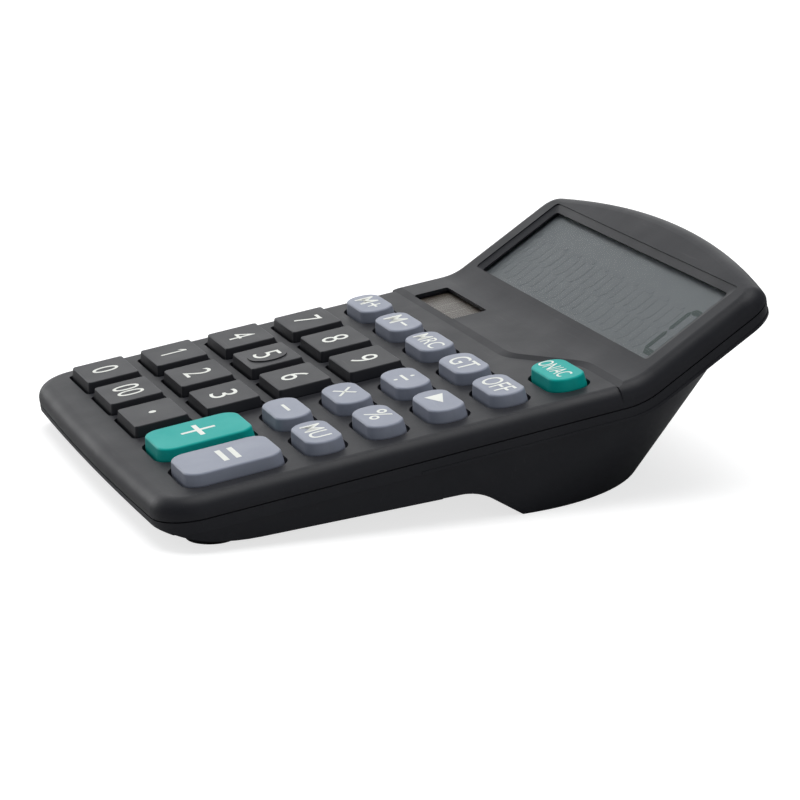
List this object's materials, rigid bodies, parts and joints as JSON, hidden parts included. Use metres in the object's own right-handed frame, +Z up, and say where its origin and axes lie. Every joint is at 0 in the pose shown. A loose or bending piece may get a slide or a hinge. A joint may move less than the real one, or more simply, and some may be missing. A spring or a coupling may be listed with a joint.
{
  "type": "desk calculator",
  "caption": "Desktop calculator with a raised tilted display head, sprung digit and function keys, a solar cell, a sliding battery door and a sloped stand block.",
  "frame": {"origin": "centre of the footprint, on the surface that the calculator stands on", "axes": "+X to the user's right, +Y from the front edge towards the display, +Z up"},
  "size_m": [0.1194, 0.1452, 0.0482],
  "materials": {
    "case_plastic": "fine moulded grain",
    "key_black": "smooth moulded",
    "key_grey": "smooth moulded",
    "key_teal": "smooth moulded",
    "clear_window": "clear, polished",
    "lcd_glass": "polarised display glass",
    "lcd_reflector": "satin grey-green reflector",
    "inner_plastic": "plain moulded",
    "ribbon_film": "polyimide film",
    "solar_glass": "dark brown cell",
    "copper_lead": "tinned copper wire",
    "rubber_mat": "moulded silicone",
    "board_laminate": "lacquered laminate",
    "chip_resin": "potted resin",
    "component_ceramic": "ceramic body",
    "screw_steel": "zinc plated",
    "cell_can": "sleeved can",
    "contact_steel": "nickel plated",
    "foot_rubber": "moulded rubber"
  },
  "bodies": {
    "case": {"upper_case": "case_plastic", "lower_case": "case_plastic", "display_window": "clear_window", "solar_window": "clear_window", "lcd_front_glass": "lcd_glass", "lcd_rear_glass": "lcd_glass", "lcd_reflector": "lcd_reflector", "lcd_holder": "inner_plastic", "lcd_ribbon": "ribbon_film", "solar_cell": "solar_glass", "solar_leads": "copper_lead", "key_mat": "rubber_mat", "main_board": "board_laminate", "chip_blob": "chip_resin", "board_components": "component_ceramic", "board_screws": "screw_steel", "case_screws": "screw_steel", "aa_cell": "cell_can", "battery_plate": "contact_steel", "battery_spring": "contact_steel", "foot_left": "foot_rubber", "foot_right": "foot_rubber"},
    "door": {"battery_door": "case_plastic"},
    "key_0_cap": {"key_0": "key_black"},
    "key_00_cap": {"key_00": "key_black"},
    "key_point_cap": {"key_point": "key_black"},
    "key_1_cap": {"key_1": "key_black"},
    "key_2_cap": {"key_2": "key_black"},
    "key_3_cap": {"key_3": "key_black"},
    "key_4_cap": {"key_4": "key_black"},
    "key_5_cap": {"key_5": "key_black"},
    "key_6_cap": {"key_6": "key_black"},
    "key_7_cap": {"key_7": "key_black"},
    "key_8_cap": {"key_8": "key_black"},
    "key_9_cap": {"key_9": "key_black"},
    "key_minus_cap": {"key_minus": "key_grey"},
    "key_mark_up_cap": {"key_mark_up": "key_grey"},
    "key_multiply_cap": {"key_multiply": "key_grey"},
    "key_percent_cap": {"key_percent": "key_grey"},
    "key_divide_cap": {"key_divide": "key_grey"},
    "key_step_back_cap": {"key_step_back": "key_grey"},
    "key_memory_plus_cap": {"key_memory_plus": "key_grey"},
    "key_memory_minus_cap": {"key_memory_minus": "key_grey"},
    "key_memory_recall_cap": {"key_memory_recall": "key_grey"},
    "key_grand_total_cap": {"key_grand_total": "key_grey"},
    "key_off_cap": {"key_off": "key_grey"},
    "key_equals_cap": {"key_equals": "key_grey"},
    "key_on_cap": {"key_on": "key_teal"},
    "key_plus_cap": {"key_plus": "key_teal"}
  },
  "joints": [
    {"name": "key_0_press", "type": "slide", "parent": "case", "child": "key_0_cap", "axis": [0, 0.1495, -0.9888], "range_m": [0, 0.0012], "stiffness_N_per_m": 500, "springref_m": -0.0004, "deforming": ["key_mat"]},
    {"name": "key_00_press", "type": "slide", "parent": "case", "child": "key_00_cap", "axis": [0, 0.1495, -0.9888], "range_m": [0, 0.0012], "stiffness_N_per_m": 500, "springref_m": -0.0004, "deforming": ["key_mat"]},
    {"name": "key_point_press", "type": "slide", "parent": "case", "child": "key_point_cap", "axis": [0, 0.1495, -0.9888], "range_m": [0, 0.0012], "stiffness_N_per_m": 500, "springref_m": -0.0004, "deforming": ["key_mat"]},
    {"name": "key_1_press", "type": "slide", "parent": "case", "child": "key_1_cap", "axis": [0, 0.1495, -0.9888], "range_m": [0, 0.0012], "stiffness_N_per_m": 500, "springref_m": -0.0004, "deforming": ["key_mat"]},
    {"name": "key_2_press", "type": "slide", "parent": "case", "child": "key_2_cap", "axis": [0, 0.1495, -0.9888], "range_m": [0, 0.0012], "stiffness_N_per_m": 500, "springref_m": -0.0004, "deforming": ["key_mat"]},
    {"name": "key_3_press", "type": "slide", "parent": "case", "child": "key_3_cap", "axis": [0, 0.1495, -0.9888], "range_m": [0, 0.0012], "stiffness_N_per_m": 500, "springref_m": -0.0004, "deforming": ["key_mat"]},
    {"name": "key_4_press", "type": "slide", "parent": "case", "child": "key_4_cap", "axis": [0, 0.1495, -0.9888], "range_m": [0, 0.0012], "stiffness_N_per_m": 500, "springref_m": -0.0004, "deforming": ["key_mat"]},
    {"name": "key_5_press", "type": "slide", "parent": "case", "child": "key_5_cap", "axis": [0, 0.1495, -0.9888], "range_m": [0, 0.0012], "stiffness_N_per_m": 500, "springref_m": -0.0004, "deforming": ["key_mat"]},
    {"name": "key_6_press", "type": "slide", "parent": "case", "child": "key_6_cap", "axis": [0, 0.1495, -0.9888], "range_m": [0, 0.0012], "stiffness_N_per_m": 500, "springref_m": -0.0004, "deforming": ["key_mat"]},
    {"name": "key_7_press", "type": "slide", "parent": "case", "child": "key_7_cap", "axis": [0, 0.1495, -0.9888], "range_m": [0, 0.0012], "stiffness_N_per_m": 500, "springref_m": -0.0004, "deforming": ["key_mat"]},
    {"name": "key_8_press", "type": "slide", "parent": "case", "child": "key_8_cap", "axis": [0, 0.1495, -0.9888], "range_m": [0, 0.0012], "stiffness_N_per_m": 500, "springref_m": -0.0004, "deforming": ["key_mat"]},
    {"name": "key_9_press", "type": "slide", "parent": "case", "child": "key_9_cap", "axis": [0, 0.1495, -0.9888], "range_m": [0, 0.0012], "stiffness_N_per_m": 500, "springref_m": -0.0004, "deforming": ["key_mat"]},
    {"name": "key_minus_press", "type": "slide", "parent": "case", "child": "key_minus_cap", "axis": [0, 0.1495, -0.9888], "range_m": [0, 0.0012], "stiffness_N_per_m": 500, "springref_m": -0.0004, "deforming": ["key_mat"]},
    {"name": "key_mark_up_press", "type": "slide", "parent": "case", "child": "key_mark_up_cap", "axis": [0, 0.1495, -0.9888], "range_m": [0, 0.0012], "stiffness_N_per_m": 500, "springref_m": -0.0004, "deforming": ["key_mat"]},
    {"name": "key_multiply_press", "type": "slide", "parent": "case", "child": "key_multiply_cap", "axis": [0, 0.1495, -0.9888], "range_m": [0, 0.0012], "stiffness_N_per_m": 500, "springref_m": -0.0004, "deforming": ["key_mat"]},
    {"name": "key_percent_press", "type": "slide", "parent": "case", "child": "key_percent_cap", "axis": [0, 0.1495, -0.9888], "range_m": [0, 0.0012], "stiffness_N_per_m": 500, "springref_m": -0.0004, "deforming": ["key_mat"]},
    {"name": "key_divide_press", "type": "slide", "parent": "case", "child": "key_divide_cap", "axis": [0, 0.1495, -0.9888], "range_m": [0, 0.0012], "stiffness_N_per_m": 500, "springref_m": -0.0004, "deforming": ["key_mat"]},
    {"name": "key_step_back_press", "type": "slide", "parent": "case", "child": "key_step_back_cap", "axis": [0, 0.1495, -0.9888], "range_m": [0, 0.0012], "stiffness_N_per_m": 500, "springref_m": -0.0004, "deforming": ["key_mat"]},
    {"name": "key_memory_plus_press", "type": "slide", "parent": "case", "child": "key_memory_plus_cap", "axis": [0, 0.1495, -0.9888], "range_m": [0, 0.0012], "stiffness_N_per_m": 500, "springref_m": -0.0004, "deforming": ["key_mat"]},
    {"name": "key_memory_minus_press", "type": "slide", "parent": "case", "child": "key_memory_minus_cap", "axis": [0, 0.1495, -0.9888], "range_m": [0, 0.0012], "stiffness_N_per_m": 500, "springref_m": -0.0004, "deforming": ["key_mat"]},
    {"name": "key_memory_recall_press", "type": "slide", "parent": "case", "child": "key_memory_recall_cap", "axis": [0, 0.1495, -0.9888], "range_m": [0, 0.0012], "stiffness_N_per_m": 500, "springref_m": -0.0004, "deforming": ["key_mat"]},
    {"name": "key_grand_total_press", "type": "slide", "parent": "case", "child": "key_grand_total_cap", "axis": [0, 0.1495, -0.9888], "range_m": [0, 0.0012], "stiffness_N_per_m": 500, "springref_m": -0.0004, "deforming": ["key_mat"]},
    {"name": "key_off_press", "type": "slide", "parent": "case", "child": "key_off_cap", "axis": [0, 0.1495, -0.9888], "range_m": [0, 0.0012], "stiffness_N_per_m": 500, "springref_m": -0.0004, "deforming": ["key_mat"]},
    {"name": "key_equals_press", "type": "slide", "parent": "case", "child": "key_equals_cap", "axis": [0, 0.1495, -0.9888], "range_m": [0, 0.0012], "stiffness_N_per_m": 500, "springref_m": -0.0004, "deforming": ["key_mat"]},
    {"name": "key_on_press", "type": "slide", "parent": "case", "child": "key_on_cap", "axis": [0, 0.1495, -0.9888], "range_m": [0, 0.0012], "stiffness_N_per_m": 500, "springref_m": -0.0004, "deforming": ["key_mat"]},
    {"name": "key_plus_press", "type": "slide", "parent": "case", "child": "key_plus_cap", "axis": [0, 0.1495, -0.9888], "range_m": [0, 0.0012], "stiffness_N_per_m": 500, "springref_m": -0.0004, "deforming": ["key_mat"]},
    {"name": "door_slide", "type": "slide", "parent": "case", "child": "door", "axis": [0, 1, 0], "range_m": [0, 0.012]}
  ]
}
